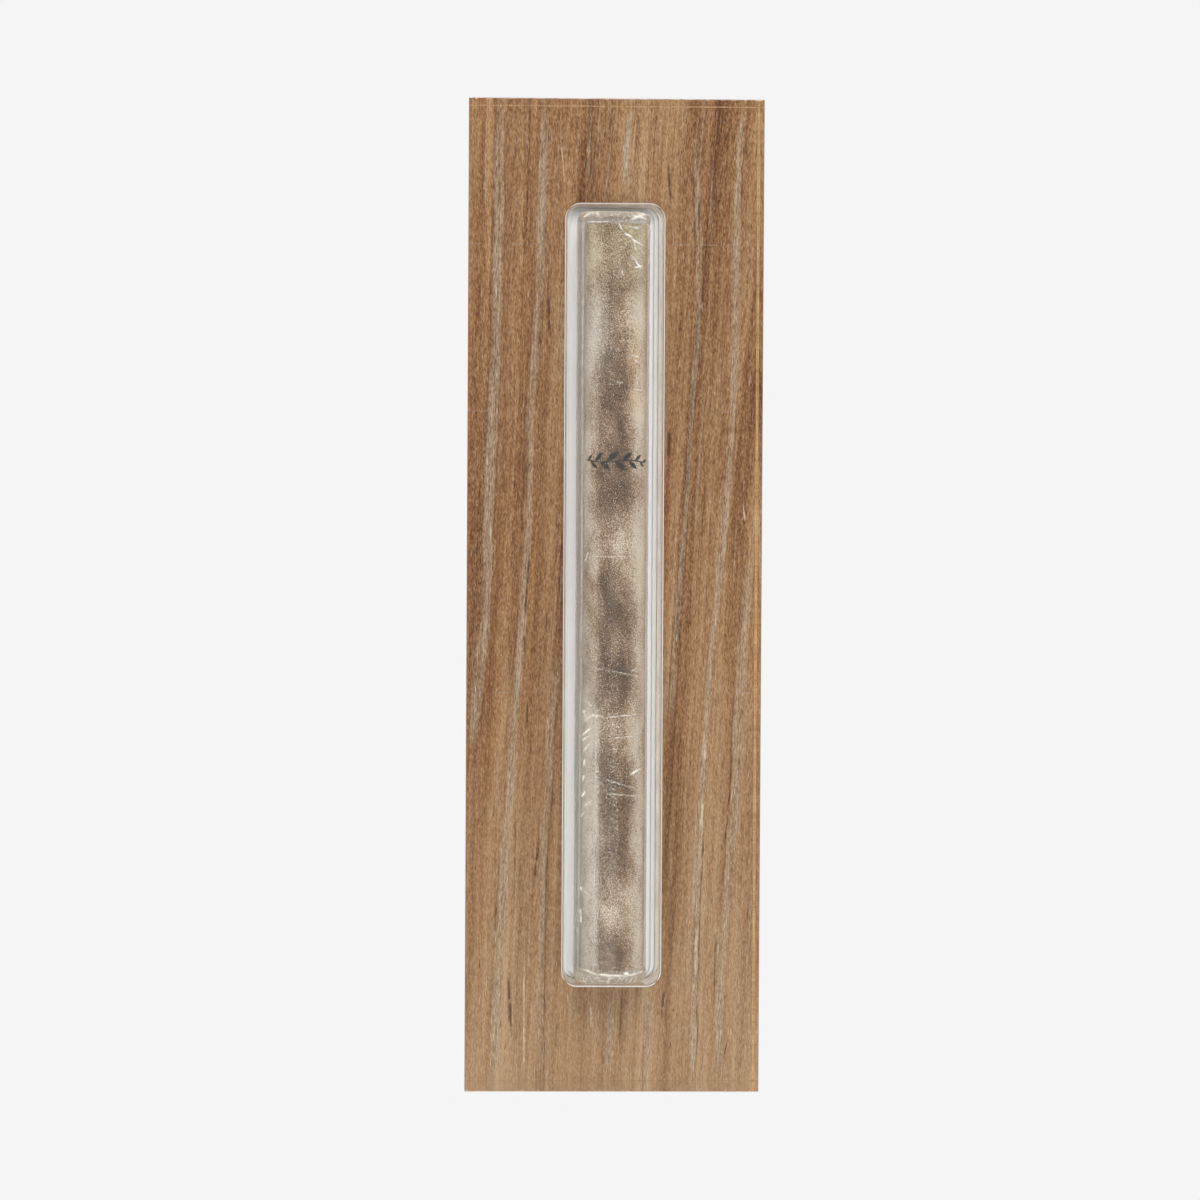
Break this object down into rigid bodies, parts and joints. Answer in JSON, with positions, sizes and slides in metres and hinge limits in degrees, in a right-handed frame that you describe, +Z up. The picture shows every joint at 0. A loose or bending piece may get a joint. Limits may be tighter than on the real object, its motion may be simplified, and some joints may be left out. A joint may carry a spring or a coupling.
{
  "type": "mezuzah case",
  "caption": "Upright clear acrylic doorpost case with a limed wood backing, a scroll pocket and a white back that slides up off a dovetail wall plate.",
  "frame": {"origin": "centre of the mounting plate's rear face, where it meets the doorpost", "axes": "+Z up along the case's length, +Y into the wall, +X to the right as seen from the front; the case lies on the -Y side"},
  "size_m": [0.0466, 0.0246, 0.1564],
  "materials": {
    "clear_acrylic": "polished clear cast acrylic",
    "bond_film": "clear adhesive film",
    "limed_wood": "limed, grey-washed straight grain",
    "white_acrylic": "white acrylic, satin",
    "white_plate": "white acrylic, satin",
    "foam_tape": "closed-cell foam tape",
    "liner_paper": "glazed release paper",
    "parchment": "scraped parchment, mottled",
    "sleeve_film": "clear wrinkled film"
  },
  "bodies": {
    "wall_plate": {"mounting_plate": "white_plate", "foam_pads": "foam_tape", "release_liners": "liner_paper"},
    "case": {"clear_block": "clear_acrylic", "front_bond_film": "bond_film", "wood_veneer": "limed_wood", "rear_bond_film": "bond_film", "back_frame": "white_acrylic", "parchment_scroll": "parchment", "scroll_sleeve": "sleeve_film"}
  },
  "joints": [
    {"name": "case_slide", "type": "slide", "parent": "wall_plate", "child": "case", "axis": [0, 0, 1], "range_m": [0, 0.14]}
  ]
}
